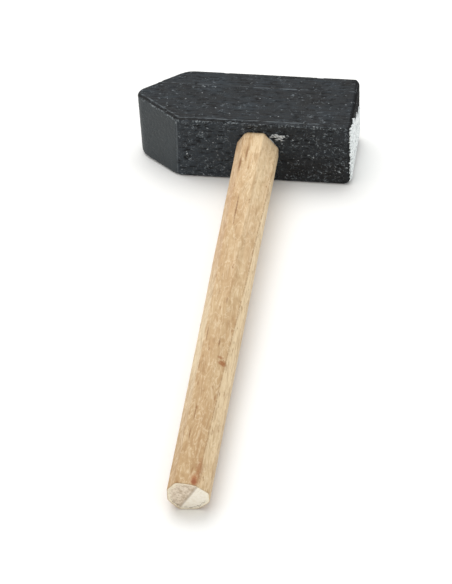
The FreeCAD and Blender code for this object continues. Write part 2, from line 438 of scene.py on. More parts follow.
def headCage():
    # the block with hard edges, each marked with its share of rounding
    lower = headOutline(head["noseLower"], head["keelLower"], 0)
    upper = headOutline(head["noseUpper"], head["keelUpper"], headThickness)
    mesh = closedStack([lower, upper], "headBlock")
    shape = bmesh.new()
    shape.from_mesh(mesh)
    shares = head["edgeShares"]
    weight = shape.edges.layers.float.new("bevel_weight_edge")
    hair = 0.01
    for edge in shape.edges:
        first, last = (vertex.co for vertex in edge.verts)
        leftmost = min(first.x, last.x)
        flat = abs(first.z - last.z) < hair
        if flat and first.z < hair:
            edge[weight] = shares["toe" if leftmost > faceX - hair else "lower"]
        elif flat:
            near = first.y + last.y < headHeight and leftmost < faceX - 1
            edge[weight] = shares["upperNear" if near else "upper"]
        elif first.x > faceX - hair:
            edge[weight] = shares["face"]
    shape.to_mesh(mesh)
    shape.free()
    return mesh


def makeHead():
    block = newObject("headBlock", headCage())
    soften = block.modifiers.new("softEdges", "BEVEL")
    soften.width = head["softest"]
    soften.segments = head["edgeSteps"]
    soften.limit_method = "WEIGHT"
    soften.use_clamp_overlap = False
    bpy.ops.mesh.primitive_cylinder_add(
        vertices=head["eyeSides"], radius=eyeRadius, depth=headHeight * 2,
        location=(0, headHeight / 2, axisRise), rotation=(math.pi / 2, 0, 0))
    cutter = bpy.context.object
    cutAway(block, cutter)
    makeEven(block, head["fineness"])
    bake(block)
    bpy.data.objects.remove(cutter)
    useTree(block, brushedReliefTree(brushedBlackPaint()), head["relief"])
    skin = block.data.copy()
    finishPiece(block, "head_block")
    return skin


def edgeDistance(tree, place):
    # how far a point lies in from the near side of the block: the underside or the near bevel
    slope = math.atan2(headHeight / 2, head["bevelLength"])
    inward = Vector((math.sin(slope), math.cos(slope), 0))
    along = addNode(tree, "VectorMath DOT_PRODUCT", [place, inward])
    fromBevel = addNode(tree, "Math SUBTRACT", [along, head["bevelStart"] * inward.x])
    fromUnderside = addNode(tree, "SeparateXYZ", [place]).outputs[1]
    return addNode(tree, "Math MINIMUM", [fromBevel, fromUnderside])


def nearGroove(tree, place, distanceIn, halfWidth, end):
    # 1 in a wavering line that keeps its distance from the near edge and fades out past an x
    waver, fade = 0.5, 1.5
    noise = grainNoise(tree, place, 0.7, 2.0)
    shaken = addNode(tree, "Math MULTIPLY_ADD", [noise, waver, edgeDistance(tree, place)])
    line = addNode(tree, "Math ADD", [distanceIn, waver / 2])
    fromLine = addNode(tree, "Math SUBTRACT", [shaken, line])
    away = addNode(tree, "Math ABSOLUTE", [fromLine])
    x = addNode(tree, "SeparateXYZ", [place])
    past = addNode(tree, "Math SUBTRACT", [x, end])
    return mask(tree, (away, halfWidth, halfWidth * 0.3), (past, fade, -fade))


def brushedReliefTree(material):
    # pushes the block's surface in and out: raised grain, open pores, grit under the paint, a ledge
    # left by the saw on the upper cheek and a groove beside its near edge
    tree, given, place = startTree("brushedRelief", head["relief"])
    normal = addNode(tree, "GeometryNodeInputNormal")
    x, y, z = addNode(tree, "SeparateXYZ", [place]).outputs
    facing = addNode(tree, "SeparateXYZ", [normal]).outputs

    # grain runs along the head, and pores are long shallow pits in it that the end grain lacks
    grain = eitherWay(tree, grainNoise(tree, place, (0.16, 1.9, 1.9), 3.0), given["grainDepth"])
    pores = grainNoise(tree, place, (0.42, 2.4, 2.4), 1.0)
    endways = addNode(tree, "Math ABSOLUTE", [facing[0]])
    pore = mask(tree, (pores, 0.40, 0.34), (endways, 0.5, 0.3))
    grainPush = addNode(tree, "Math SUBTRACT", [grain, mask(tree, pore, given["poreDepth"])])
    gritPush = eitherWay(tree, grainNoise(tree, place, 1.6, 4.0, 0.65), given["grit"])
    rough = addNode(tree, "Math ADD", [grainPush, gritPush])

    # the upper cheek takes the ledge, and the groove that follows its near edge round to the tip
    onUpper = mask(tree, (facing[2], 0.7, 0.95))
    wander = grainNoise(tree, place, 0.11, 2.0)
    wanderBy = addNode(tree, "Math MULTIPLY_ADD", [wander, 1.6, -0.8])
    across = addNode(tree, "Math ADD", [y, wanderBy])
    pastLedge = addNode(tree, "Math SUBTRACT", [across, given["ledgeAt"]])
    ledge = mask(tree, (pastLedge, -0.12, 0.12))
    ledgeUp = mask(tree, ledge, given["ledgeHeight"])
    groove = nearGroove(tree, place, given["grooveIn"], 0.38, given["grooveEnd"])
    grooveDown = mask(tree, groove, given["grooveDepth"])
    cheekShape = addNode(tree, "Math SUBTRACT", [ledgeUp, grooveDown])
    push = addNode(tree, "Math ADD", [rough, mask(tree, cheekShape, onUpper)])

    # nothing moves in the eye, where the tenon sits
    level = addNode(tree, "CombineXYZ", [x, 0.0, z])
    fromAxis = addNode(tree, "VectorMath DISTANCE", [level, (0, 0, axisRise)])
    kept = mask(tree, push, (fromAxis, eyeRadius + 0.15, eyeRadius + 0.5))
    offset = addNode(tree, "VectorMath SCALE", {0: normal, "Scale": kept})
    pushed = addNode(tree, "VectorMath ADD", [place, offset])
    # the lower cheek is what the hammer lies on, so nothing reaches below z 0; x and y are free
    free = -1000
    resting = addNode(tree, "VectorMath MAXIMUM", [pushed, (free, free, 0)])
    noted = noteDown(tree, given[0], {"pore": pore, "ledge": mask(tree, ledge, onUpper)})
    moved = addNode(tree, "GeometryNodeSetPosition", {"Geometry": noted, "Position": resting})
    return endTree(tree, moved, material)


def brushedBlackPaint():
    # water-based black paint brushed on bare wood: a dull satin skin that follows the grain, with
    # pores painted darker as shade, pale fibres and crumbs of paint standing up, painted highlights on
    # the near edges and the ledge, and a darker patch low on the underside
    material, tree, shader = newMaterial("brushedBlackPaint")
    place = hammerPosition(tree)
    x, y, z = addNode(tree, "SeparateXYZ", [place]).outputs
    colours = head["colours"]
    peenStart = head["bevelStart"]
    bevelIn = edgeDistance(tree, place)
    onCheek = mask(tree, (z, headThickness - 0.6, headThickness - 0.35))
    onUnderside = mask(tree, (y, 0.55, 0.3))
    onBevel = mask(tree, (x, peenStart - 0.1, peenStart - 0.35), (bevelIn, 0.6, 0.35))
    overFace = mask(tree, (x, faceX - 0.9, faceX - 0.3))

    # brush strokes run along the head, and each side took the paint in its own way
    streaks = grainNoise(tree, place, (0.3, 2.4, 2.4), 5.0, 0.65)
    patches = grainNoise(tree, place, 0.14, 3.0)
    tone = addNode(tree, "Mix", [0.38, None, streaks, patches])
    paint = lay(tree, colours["black"], colours["greyer"], (tone, 0.41, 0.60))
    dashes = grainNoise(tree, place, (0.13, 1.25, 1.25), 3.0, 0.6)
    paint = lay(tree, paint, colours["dashes"], (dashes, 0.52, 0.64, 0.75))
    paint = lay(tree, paint, colours["underside"], onUnderside, 0.4)
    paint = lay(tree, paint, colours["bevel"], onBevel, 0.72)
    paint = lay(tree, paint, colours["overFace"], overFace)
    # the underside darkens from the handle towards the striking face
    paint = lay(tree, paint, colours["darkerToFace"], onUnderside, (x, -4.0, 5.0, 0.45))

    # a darker patch lies low on the underside, between the handle and the striking face
    lowPatch = mask(tree, band(tree, x, 5.0, faceX, 2.0), band(tree, z, 0.0, 6.5, 1.8), onUnderside)
    paint = lay(tree, paint, colours["darkerLowPatch"], lowPatch, 0.85)

    # pores and the groove are painted darker as shade, and a painted highlight runs along the groove's
    # inner lip
    sizes = head["relief"]
    groove = nearGroove(tree, place, sizes["grooveIn"], 0.44, sizes["grooveEnd"])
    hollowShade = addNode(tree, "Math MAXIMUM", [readNote(tree, "pore"), mask(tree, groove, onCheek)])
    paint = lay(tree, paint, colours["shadeInHollows"], hollowShade)
    lip = nearGroove(tree, place, sizes["grooveIn"] + 0.62, 0.24, faceX - 5)
    paint = lay(tree, paint, colours["lip"], lip, (streaks, 0.44, 0.58, 0.55), onCheek)

    # the brush left thin curling ridges of paint: contour lines of a noise, longer on the cheeks
    # where they follow the grain, and broken up by a second noise
    calm = addNode(tree, "MapRange", [onBevel, 0.0, 1.0, 1.0, 0.15])
    wavesOver = {0: onUnderside, 4: (0.36, 1.5, 1.5), 5: (0.85, 1.4, 1.4)}
    waves = addNode(tree, "Mix", wavesOver, data_type="VECTOR")
    curls = grainNoise(tree, place, waves, 2.0, 0.55, 0.7)
    gaps = grainNoise(tree, place, 1.1, 3.0, 0.7)
    fewer = addNode(tree, "MapRange", [onUnderside, 0.0, 1.0, -0.07, 0.0])
    gapsHere = addNode(tree, "Math ADD", [gaps, fewer])
    clumps = grainNoise(tree, place, 0.24, 2.0)
    crowd = addNode(tree, "MapRange", [clumps, 0.38, 0.58, 0.25, 1.1])
    curlLines = fineLines(tree, curls, 0.036, 0.008, 1.0)
    curlMask = mask(tree, curlLines, (gapsHere, 0.47, 0.58), crowd, calm)
    curlShare = addNode(tree, "MapRange", [onUnderside, 0.0, 1.0, 0.75, 0.68])
    paint = lay(tree, paint, colours["curls"], curlMask, curlShare)

    # crumbs 0.1 to 0.4 mm across, torn out of round, in loose swarms
    warp = grainNoise(tree, place, 2.6, 2.0).outputs["Color"]
    torn = addNode(tree, "VectorMath MULTIPLY_ADD", [warp, (0.75, 0.75, 0.75), place])
    crumbPlace = addNode(tree, "VectorMath MULTIPLY", [torn, (0.85, 1.8, 1.8)])
    crumbs = addNode(tree, "TexVoronoi", {"Vector": crumbPlace, "Scale": 1.0}).outputs
    chance = addNode(tree, "SeparateColor", [crumbs["Color"]]).outputs
    crumbSize = addNode(tree, "MapRange", [chance[1], 0.0, 1.0, 0.10, 0.30])
    swarm = grainNoise(tree, place, 0.36, 3.0, 0.6)
    luck = addNode(tree, "Math MULTIPLY_ADD", [swarm, 2.2, chance[0]])
    bias = addNode(tree, "MapRange", [onUnderside, 0.0, 1.0, -0.22, 0.0])
    luckHere = addNode(tree, "Math ADD", [luck, bias])
    crumbMask = mask(tree, (crumbs["Distance"], crumbSize, 0.06), (luckHere, 1.77, 2.0, 0.95), calm)
    paint = lay(tree, paint, colours["crumbs"], crumbMask)

    # painted highlights run along the sharp near edges and the corner where the near bevel meets the
    # underside, broken in places
    highlightBreaks = grainNoise(tree, place, 2.2, 3.0)
    rim = band(tree, z, headThickness - 0.55, headThickness + 0.5, 0.12)
    rimHighlight = mask(tree, (bevelIn, 0.22, 0.10), rim, (highlightBreaks, 0.50, 0.64, 0.5))
    corner = mask(tree, band(tree, x, peenStart - 0.12, peenStart + 0.16, 0.06), onUnderside, 0.16)
    edges = addNode(tree, "Math MAXIMUM", [rimHighlight, corner])
    paint = lay(tree, paint, colours["edgeHighlight"], edges)
    # painted highlight along the ledge on the upper cheek
    ledge = mask(tree, band(tree, readNote(tree, "ledge"), 0.35, 0.65, 0.15), onCheek)
    paint = lay(tree, paint, colours["ledge"], ledge, (streaks, 0.45, 0.6, 0.5))

    sheen = addNode(tree, "MapRange", [streaks, 0.3, 0.7, 0.40, 0.62])
    fine = grainNoise(tree, place, 3.2, 3.0, 0.7)
    brushed = addNode(tree, "Math ADD", [streaks, fine])
    raised = addNode(tree, "Math ADD", [crumbMask, curlMask])
    height = addNode(tree, "Math ADD", [brushed, raised])
    setInputs(tree, shader, {
        "Base Color": paint,
        "Roughness": addNode(tree, "Mix", [overFace, None, sheen, 1.0]),
        "IOR": 1.45,
        "Specular IOR Level": 0.28,
        "Normal": bumps(tree, height, 0.5, 0.15),
    })
    return material


coat = {
    "cover": {
        "wrap": 0.4,         # how far silver runs round onto the block's rounded edges
        "ragged": 1.0,
        "drips": 4.5,
        "spillLow": 5.2,     # black runs over the face above a line from here at the crown side
        "spillHigh": 13.5,   # to here at the underside
    },
    "sheet": {
        "thickness": 0.14,
        "grain": 0.07,
    },
    "colours": ("#7d878b", "#eff4f4"),
}


def makeCoat(skin):
    sheet = newObject("silverCoat", skin)
    paint = grainySilverPaint()
    useTree(sheet, coverTree(paint), coat["cover"])
    dropPinches(sheet.data)
    useTree(sheet, sheetTree(paint), coat["sheet"])
    finishPiece(sheet, "face_coat")


def coverTree(material):
    # keeps the part of the block's own skin that is painted silver
    tree, given, place = startTree("silverCover", coat["cover"])
    x, y, z = addNode(tree, "SeparateXYZ", [place]).outputs
    rough = grainNoise(tree, place, 1.3, 3.0, 0.75)
    jitter = eitherWay(tree, rough, given["ragged"])
    faceLine = addNode(tree, "Math SUBTRACT", [faceX, given["wrap"]])
    pastLine = addNode(tree, "Math SUBTRACT", [x, faceLine])
    onFace = addNode(tree, "Math ADD", [pastLine, jitter])
    share = addNode(tree, "Math DIVIDE", [y, headHeight])
    spillAt = addNode(tree, "Mix", [share, None, given["spillHigh"], given["spillLow"]])
    underSpill = addNode(tree, "Math SUBTRACT", [spillAt, z])
    drips = grainNoise(tree, place, 0.33, 2.0)
    dripBy = addNode(tree, "Math MULTIPLY_ADD", [drips, given["drips"], underSpill])
    tornSpill = addNode(tree, "Math MULTIPLY_ADD", [jitter, 2.2, dripBy])
    inside = addNode(tree, "Math MINIMUM", [onFace, tornSpill])
    chosen = addNode(tree, "FunctionNodeCompare GREATER_THAN", {"A": inside, "B": 0.0})
    skin = addNode(tree, "GeometryNodeSeparateGeometry", [given[0], chosen], domain="FACE")
    return endTree(tree, skin, material)


def dropPinches(mesh):
    # faces that touch the rest only at a corner go, and so do loose islands
    shape = bmesh.new()
    shape.from_mesh(mesh)
    pinched = [True]
    while pinched:
        corners = [vertex for vertex in shape.verts if not vertex.is_manifold]
        pinched = list({face for corner in corners for face in corner.link_faces})
        bmesh.ops.delete(shape, geom=pinched, context="FACES")
    left, largest = set(shape.faces), set()
    while left:
        edge = [left.pop()]
        island = set(edge)
        while edge:
            near = {face for side in edge.pop().edges for face in side.link_faces} & left
            left -= near
            island |= near
            edge += near
        largest = max(largest, island, key=len)
    loose = [face for face in shape.faces if face not in largest]
    bmesh.ops.delete(shape, geom=loose, context="FACES")
    shape.to_mesh(mesh)
    shape.free()


def sheetTree(material):
    # thickens the painted skin outwards and closes it at the back
    tree, given, place = startTree("silverSheet", coat["sheet"])
    grains = grainNoise(tree, place, 1.5, 3.0)
    lift = addNode(tree, "Math MULTIPLY_ADD", [grains, given["grain"], given["thickness"]])
    lifted = {"Mesh": given[0], "Offset Scale": lift, "Individual": False}
    raised = addNode(tree, "GeometryNodeExtrudeMesh", lifted, mode="FACES")
    turned = addNode(tree, "GeometryNodeFlipFaces", [given[0]])
    shell = addNode(tree, "GeometryNodeJoinGeometry", [turned])
    setInputs(tree, shell, [raised])
    closed = addNode(tree, "GeometryNodeMergeByDistance", {"Geometry": shell, "Distance": 0.001})
    return endTree(tree, closed, material)


def grainySilverPaint():
    # cheap silver-grey paint dabbed on thickly: near white where it catches light, coarse grain
    material, tree, shader = newMaterial("grainySilverPaint")
    grains = grainNoise(tree, hammerPosition(tree), 2.0, 4.0, 0.75)
    setInputs(tree, shader, {
        "Base Color": lay(tree, *coat["colours"], (grains, 0.38, 0.54)),
        "Metallic": 0.15,
        "Roughness": 0.5,
        "Normal": bumps(tree, grains, 0.4, 0.1),
    })
    return material


stick = {
    "columns": 176,
    "shankRows": 360,
    "capRows": 22,
    "shoulderRows": 4,
    "tenonRows": 24,
    "tenonCapRows": 8,
    # each flat the knife left, at the head and at the butt: direction round the handle in degrees
    # (0 towards the striking face, 90 up) and distance from the axis, then how pale it is
    "flats": [
        (90, 4.50, 92, 4.20, 0.35),
        (40, 4.02, 80, 4.24, 0.35),
        (16, 4.64, 41, 4.00, 1.0),
        (0, 4.55, 0, 4.24, 0.8),
        (-45, 4.56, -45, 4.26, 0.3),
        (-90, 4.50, -90, 4.20, 0.3),
        (-135, 4.56, -135, 4.26, 0.3),
        (180, 4.55, 180, 4.26, 0.1),
        (146.8, 4.68, 144, 4.36, 0.1),
        (117, 4.98, 118, 4.66, 0.25),
    ],
    "shadeLineFlat": 2,             # a painted shade line runs beside this one
    "ridgeSoftness": 0.16,
    "lowerSoftness": 0.75,     # the ridges underneath are rounded over
    "cut": {
        "wobble": 0.22,        # how far a flat wanders in or out along the handle
        "wobbleLength": 26.0,
        "knifeMarks": 0.05,
        "tornFibres": 0.22,
        "ridgeStep": 0.16,     # one half of the nipped end stands behind the other
    },
    "shoulderCut": 0.92,       # the shoulder's outer ring, as a share of the handle's half width
    "buttLean": 17.0,
    "nipLean": 7.0,
    "ridgeTurn": 27.5,
    "kerfTip": 0.5,
    "kerfSpare": 2.0,
    "kerfHalfDepth": 5.0,      # more than the tenon's radius, so the kerf runs right across
    "colours": {
        "brown": "#c29f77",
        "tan": "#cfb48d",
        "blush": "#cba98c",
        "towardsButt": "#a38459",
        "darkerAtButt": "#b7956a",
        "paleFlat": "#e8d2ab",
        "paleLeft": "#e0d0ae",
        "paintedLightNearHead": "#e6d0ab",
        "fibres": "#a98a63",
        "tornDark": "#9d7c55",
        "tornPale": "#e9d6b3",
        "slidPale": "#ecdbbb",
        "slidDark": "#a07c52",
        "flecks": "#93693f",
        # painted shade line beside the pale strip
        "shadeLine": "#84603c",
    },
    "endColours": {
        "greyHalf": ("#e2d3bf", "#b5a188"),
        "paleHalf": ("#f3ecde", "#dccfb6"),
        "rim": "#f1e7cd",
        "crack": "#77644c",
        "ridge": "#8d7760",
    },
    # stains and knife scars on the upper side: x, y, half width, half length in mm, strength, colour
    "marks": [
        (1.25, -123.4, 0.95, 2.2, 0.6, "#b0724a"),
        (1.3, -123.9, 0.6, 1.3, 0.85, "#8c4e2c"),
        (1.8, -119.4, 0.8, 3.4, 0.7, "#99683f"),
        (2.2, -83.6, 0.95, 1.1, 0.85, "#8f5527"),
        (1.6, -82.0, 0.7, 0.5, 0.6, "#8f5527"),
        (-1.3, -29.0, 0.18, 5.6, 0.85, "#87623f"),
        (-1.45, -7.8, 0.28, 3.2, 0.85, "#8f6a45"),
        (-2.5, -12.0, 0.34, 3.4, 0.9, "#87623f"),
        (-2.05, -74.4, 0.14, 3.0, 0.75, "#8a6540"),
        (0.8, -77.2, 0.2, 1.9, 0.8, "#8a6540"),
        (0.65, -62.6, 0.26, 1.2, 0.65, "#8a6540"),
        (-2.4, -85.2, 0.12, 1.6, 0.7, "#8a6540"),
        (-1.25, -101.6, 0.15, 3.0, 0.75, "#8a6540"),
        (-1.5, -108.6, 0.14, 2.0, 0.75, "#8a6540"),
    ],
}


def stickRows():
    # (share along the shank or height in mm, share of the radius or radius in mm, whether carved)
    # from butt to crown
    rows = [(1.0, i / stick["capRows"], True) for i in range(1, stick["capRows"])]
    rows += [(1 - i / stick["shankRows"], 1.0, True) for i in range(stick["shankRows"] + 1)]
    neck = handleWide / 2 * stick["shoulderCut"]
    last = stick["shoulderRows"] - 1
    rows += [(-glueGap, neck + (tenonRadius - neck) * i / last, False) for i in range(1, last + 1)]
    for i in range(1, stick["tenonRows"] + 1):
        rows.append((-glueGap + (headHeight + glueGap) * i / stick["tenonRows"], tenonRadius, False))
    caps = stick["tenonCapRows"]
    return rows + [(headHeight, tenonRadius * (1 - i / caps), False) for i in range(1, caps)]


def stickBlank():
    # carved rows hold shares, which the whittling tree turns into millimetres; turned rows are true
    shape = bmesh.new()
    carvedNote = shape.verts.layers.float.new("carved")
    endNote = shape.verts.layers.float.new("endGrain")

    def addPoint(point, carved, onEnd):
        vertex = shape.verts.new(point)
        vertex[carvedNote], vertex[endNote] = float(carved), float(onEnd)
        return vertex

    columns = stick["columns"]
    turns = [2 * math.pi * i / columns for i in range(columns)]
    rings = []
    for place, radius, carved in stickRows():
        onEnd = carved and radius < 1
        ring = [(radius * math.cos(turn), place, radius * math.sin(turn)) for turn in turns]
        rings.append([addPoint(point, carved, onEnd) for point in ring])
    joinRings(shape, rings)
    for ring, height, carved in ((rings[0], 1.0, True), (rings[-1], headHeight, False)):
        middle = addPoint((0, height, 0), carved, carved)
        for i in range(columns):
            shape.faces.new((middle, ring[i], ring[(i + 1) % columns]))
    return meshOf(shape, "handleStick")


def makeHandle():
    handle = newObject("handleStick", stickBlank())
    useTree(handle, whittlingTree(whittledBeech()), stick["cut"])
    deep = stick["kerfHalfDepth"]
    rings = [[(x, y, axisRise + side) for x, y in kerfCorners(1.0)] for side in (-deep, deep)]
    cutter = newObject("kerfCutter", closedStack(rings, "kerfCutter"))
    cutAway(handle, cutter)
    bake(handle)
    bpy.data.objects.remove(cutter)
    finishPiece(handle, "handle")


def kerfCorners(extra):
    # outline of the kerf, which the wedge fills but for its bottom, run on past the crown
    top, tip = wedgeWide / 2, stick["kerfTip"] / 2
    wide = top + (top - tip) * extra / (headHeight - wedgeEndY)
    bottom = wedgeEndY - stick["kerfSpare"]
    left = [(-wide, headHeight + extra), (-tip, wedgeEndY), (-tip, bottom)]
    return left + [(-x, y) for x, y in reversed(left)]


def nipNormals():
    # outward normals of the two halves of the nipped end
    lean, side, turn = (math.radians(stick[k]) for k in ("buttLean", "nipLean", "ridgeTurn"))
    leaning = Matrix.Rotation(lean, 3, "X") @ Matrix.Rotation(turn, 3, "Y")
    return [leaning @ Matrix.Rotation(way * side, 3, "Z") @ Vector((0, -1, 0)) for way in (1, -1)]


def whittlingTree(material):
    # the rule of the handle: at each angle the wood reaches out to the nearest knife flat, and each
    # flat drifts in and out along the handle
    tree, given, blank = startTree("whittling", stick["cut"])
    x, share, z = addNode(tree, "SeparateXYZ", [blank]).outputs
    angle = addNode(tree, "Math ARCTAN2", [z, x])
    level = addNode(tree, "CombineXYZ", [x, 0.0, z])
    reachOut = addNode(tree, "VectorMath LENGTH", [level])
    along = addNode(tree, "Math MULTIPLY", [share, -buttY - glueGap])
    slow = addNode(tree, "Math DIVIDE", [along, given["wobbleLength"]])

    radius = None
    tone = stick["flats"][0][4]
    for number, (headWay, atHead, buttWay, atButt, pale) in enumerate(stick["flats"]):
        drift = addNode(tree, "CombineXYZ", [slow, number * 7.3, 0.0])
        wave = grainNoise(tree, drift, 1.0, 2.0)
        straight = addNode(tree, "Math MULTIPLY_ADD", [share, atButt - atHead, atHead])
        wobble = eitherWay(tree, wave, given["wobble"])
        distance = addNode(tree, "Math ADD", [straight, wobble])
        swing = math.radians(buttWay - headWay)
        direction = addNode(tree, "Math MULTIPLY_ADD", [share, swing, math.radians(headWay)])
        turned = addNode(tree, "Math SUBTRACT", [angle, direction])
        cosine = addNode(tree, "Math COSINE", [turned])
        facing = addNode(tree, "Math MAXIMUM", [cosine, 0.3])
        here = addNode(tree, "Math DIVIDE", [distance, facing])
        if radius is None:
            radius = here
            continue
        nearer = addNode(tree, "Math SUBTRACT", [here, radius])
        if number == stick["shadeLineFlat"]:
            shadeLine = band(tree, nearer, -0.03, 0.09, 0.04)
        tone = addNode(tree, "Mix", [mask(tree, (nearer, 0.06, -0.06)), None, tone, pale])
        underneath = headWay < -10 or headWay == 180
        softness = stick["lowerSoftness" if underneath else "ridgeSoftness"]
        radius = addNode(tree, "Math SMOOTH_MIN", [radius, here, softness])

    # long shallow marks of the blade
    solid = addNode(tree, "CombineXYZ", [x, along, z])
    marks = eitherWay(tree, grainNoise(tree, solid, (9.0, 0.12, 9.0), 3.0), given["knifeMarks"])
    marked = addNode(tree, "Math ADD", [radius, marks])
    outTo = addNode(tree, "Math MULTIPLY", [marked, reachOut])
    newX = mask(tree, addNode(tree, "Math COSINE", [angle]), outTo)
    newZ = mask(tree, addNode(tree, "Math SINE", [angle]), outTo)

    # the end is where the first of the two nipping planes is met, and its fibres are torn
    atEnd = addNode(tree, "CombineXYZ", [newX, 0.0, newZ])
    setback = stick["flats"][0][3] * math.tan(math.radians(stick["buttLean"]))
    heights = []
    for normal in nipNormals():
        slope = Vector((-normal.x / normal.y, 0, -normal.z / normal.y))
        rise = addNode(tree, "VectorMath DOT_PRODUCT", [atEnd, slope])
        heights.append(addNode(tree, "Math ADD", [rise, buttY + setback]))
    apart = addNode(tree, "Math SUBTRACT", heights)
    endY = addNode(tree, "Math MAXIMUM", heights)
    leftHalf = mask(tree, (apart, 0.06, -0.06))
    torn = grainNoise(tree, atEnd, 1.1, 4.0, 0.6)
    fibres = eitherWay(tree, torn, given["tornFibres"])
    stepBack = mask(tree, leftHalf, given["ridgeStep"])
    rough = addNode(tree, "Math ADD", [stepBack, fibres])
    roughInside = mask(tree, rough, (reachOut, 0.98, 0.85))
    trueEnd = addNode(tree, "Math ADD", [endY, roughInside])
    span = addNode(tree, "Math ADD", [trueEnd, glueGap])
    newY = addNode(tree, "Math MULTIPLY_ADD", [span, share, -glueGap])

    risen = addNode(tree, "Math ADD", [newZ, axisRise])
    carvedPlace = addNode(tree, "CombineXYZ", [newX, newY, risen])
    turnedPlace = addNode(tree, "VectorMath ADD", [blank, (0, 0, axisRise)])
    carved = addNode(tree, "GeometryNodeInputNamedAttribute", ["carved"], data_type="FLOAT")
    target = addNode(tree, "Mix", {0: carved, 4: turnedPlace, 5: carvedPlace}, data_type="VECTOR")
    gap = addNode(tree, "Math ABSOLUTE", [apart])
    noted = noteDown(tree, given[0], {
        "flatTone": tone, "shadeLine": shadeLine, "leftHalf": leftHalf, "ridgeLine": mask(tree, (gap, 0.10, 0.02))})
    moved = addNode(tree, "GeometryNodeSetPosition", {"Geometry": noted, "Position": target})
    return endTree(tree, moved, material)


def whittledBeech():
    # beech cut with a knife and left bare: pale pinkish tan, mottled where the blade tore it, with
    # the short darker flecks of its rays, 0.2 to 0.4 mm wide and 2 to 3 mm long
    material, tree, shader = newMaterial("whittledBeech")
    place = hammerPosition(tree)
    x, y, z = addNode(tree, "SeparateXYZ", [place]).outputs
    colours = stick["colours"]
    tone = readNote(tree, "flatTone")

    # each flat has its own tone, and the wood darkens towards the butt
    broad = grainNoise(tree, place, (0.28, 0.06, 0.28), 3.0)
    wood = lay(tree, colours["brown"], colours["tan"], (broad, 0.35, 0.65))
    wood = lay(tree, wood, colours["blush"], (tone, 0.3, 0.1, 0.4))
    wood = lay(tree, wood, colours["towardsButt"], (y, 0.0, buttY, 0.58))
    wood = lay(tree, wood, colours["paleFlat"], (tone, 0.4, 1.0, 0.85))
    wood = lay(tree, wood, colours["darkerAtButt"], (y, -85.0, buttY, 0.45))
    leftPale = band(tree, y, -95.0, -56.0, 14.0)
    wood = lay(tree, wood, colours["paleLeft"], (tone, 0.2, 0.12), leftPale, 0.65)
    # painted light: the side towards the striking face is lighter near the head
    wood = lay(tree, wood, colours["paintedLightNearHead"], (x, -0.6, 0.8), (y, -62.0, -14.0, 0.5))

    fine = grainNoise(tree, place, (2.4, 0.12, 2.4), 4.0, 0.6)
    wood = lay(tree, wood, colours["fibres"], (fine, 0.40, 0.66, 0.4))
    mottle = grainNoise(tree, place, (1.05, 0.42, 1.05), 4.0, 0.65, 0.5)
    wood = lay(tree, wood, colours["tornDark"], (mottle, 0.53, 0.66, 0.42))
    wood = lay(tree, wood, colours["tornPale"], (mottle, 0.45, 0.34, 0.3))

    # pale wavering lines, where the blade slid along the grain
    ripple = grainNoise(tree, place, (0.9, 0.14, 0.9), 3.0, 0.6, 0.7)
    wood = lay(tree, wood, colours["slidPale"], fineLines(tree, ripple, 0.035, 0.0, 0.36))
    wood = lay(tree, wood, colours["slidDark"], (ripple, 0.56, 0.68, 0.4))

    # the rays, as spindles at random places
    warp = grainNoise(tree, place, 1.1, 2.0).outputs["Color"]
    warped = addNode(tree, "VectorMath MULTIPLY_ADD", [warp, (0.6, 1.4, 0.6), place])
    fleckPlace = addNode(tree, "VectorMath MULTIPLY", [warped, (1.25, 0.26, 1.25)])
    flecks = addNode(tree, "TexVoronoi", {"Vector": fleckPlace, "Scale": 1.0}).outputs
    chance = addNode(tree, "SeparateColor", [flecks["Color"]])
    fleckMask = mask(tree, (flecks["Distance"], 0.30, 0.12), (chance, 0.55, 0.9, 0.7))
    wood = lay(tree, wood, colours["flecks"], fleckMask)

    ragged = grainNoise(tree, place, 1.6, 3.0, 0.7)
    onTop = mask(tree, (z, axisRise, axisRise + 1))
    for markX, markY, halfWidth, halfLength, strength, colour in stick["marks"]:
        away = addNode(tree, "VectorMath SUBTRACT", [place, (markX, markY, 0)])
        inHalves = (1 / halfWidth, 1 / halfLength, 0)
        scaled = addNode(tree, "VectorMath MULTIPLY", [away, inHalves])
        distance = addNode(tree, "VectorMath LENGTH", [scaled])
        torn = addNode(tree, "Math MULTIPLY_ADD", [ragged, 1.6, distance])
        wood = lay(tree, wood, colour, (torn, 2.0, 1.2, strength), onTop)
    # painted shade along the edge of the pale strip
    wood = lay(tree, wood, colours["shadeLine"], readNote(tree, "shadeLine"), (ragged, 0.40, 0.56, 0.7))

    # the cut end: one half coarse and grey-brown, the other pale, with a painted shadow line in the step
    # between them, and a pale torn rim with a crack inside it low down
    ends = stick["endColours"]
    coarse = grainNoise(tree, place, 1.5, 4.0, 0.7, 0.6)
    greyHalf = lay(tree, *ends["greyHalf"], (coarse, 0.42, 0.62, 0.9))
    paleHalf = lay(tree, *ends["paleHalf"], (coarse, 0.45, 0.65, 0.5))
    cutEnd = lay(tree, paleHalf, greyHalf, readNote(tree, "leftHalf"))
    level = addNode(tree, "VectorMath MULTIPLY", [place, (1, 0, 1)])
    fromMiddle = addNode(tree, "VectorMath DISTANCE", [level, (0, 0, axisRise)])
    wavy = addNode(tree, "Math MULTIPLY_ADD", [ragged, 2.6, fromMiddle])
    cutEnd = lay(tree, cutEnd, ends["rim"], (wavy, 4.8, 5.3, 0.6))
    lowDown = (z, axisRise - 1.0, axisRise - 2.2, 0.8)
    cutEnd = lay(tree, cutEnd, ends["crack"], band(tree, wavy, 4.80, 5.0, 0.08), lowDown)
    # painted shadow in the step between the two halves
    cutEnd = lay(tree, cutEnd, ends["ridge"], readNote(tree, "ridgeLine"), 0.5)
    wood = lay(tree, wood, cutEnd, readNote(tree, "endGrain"))

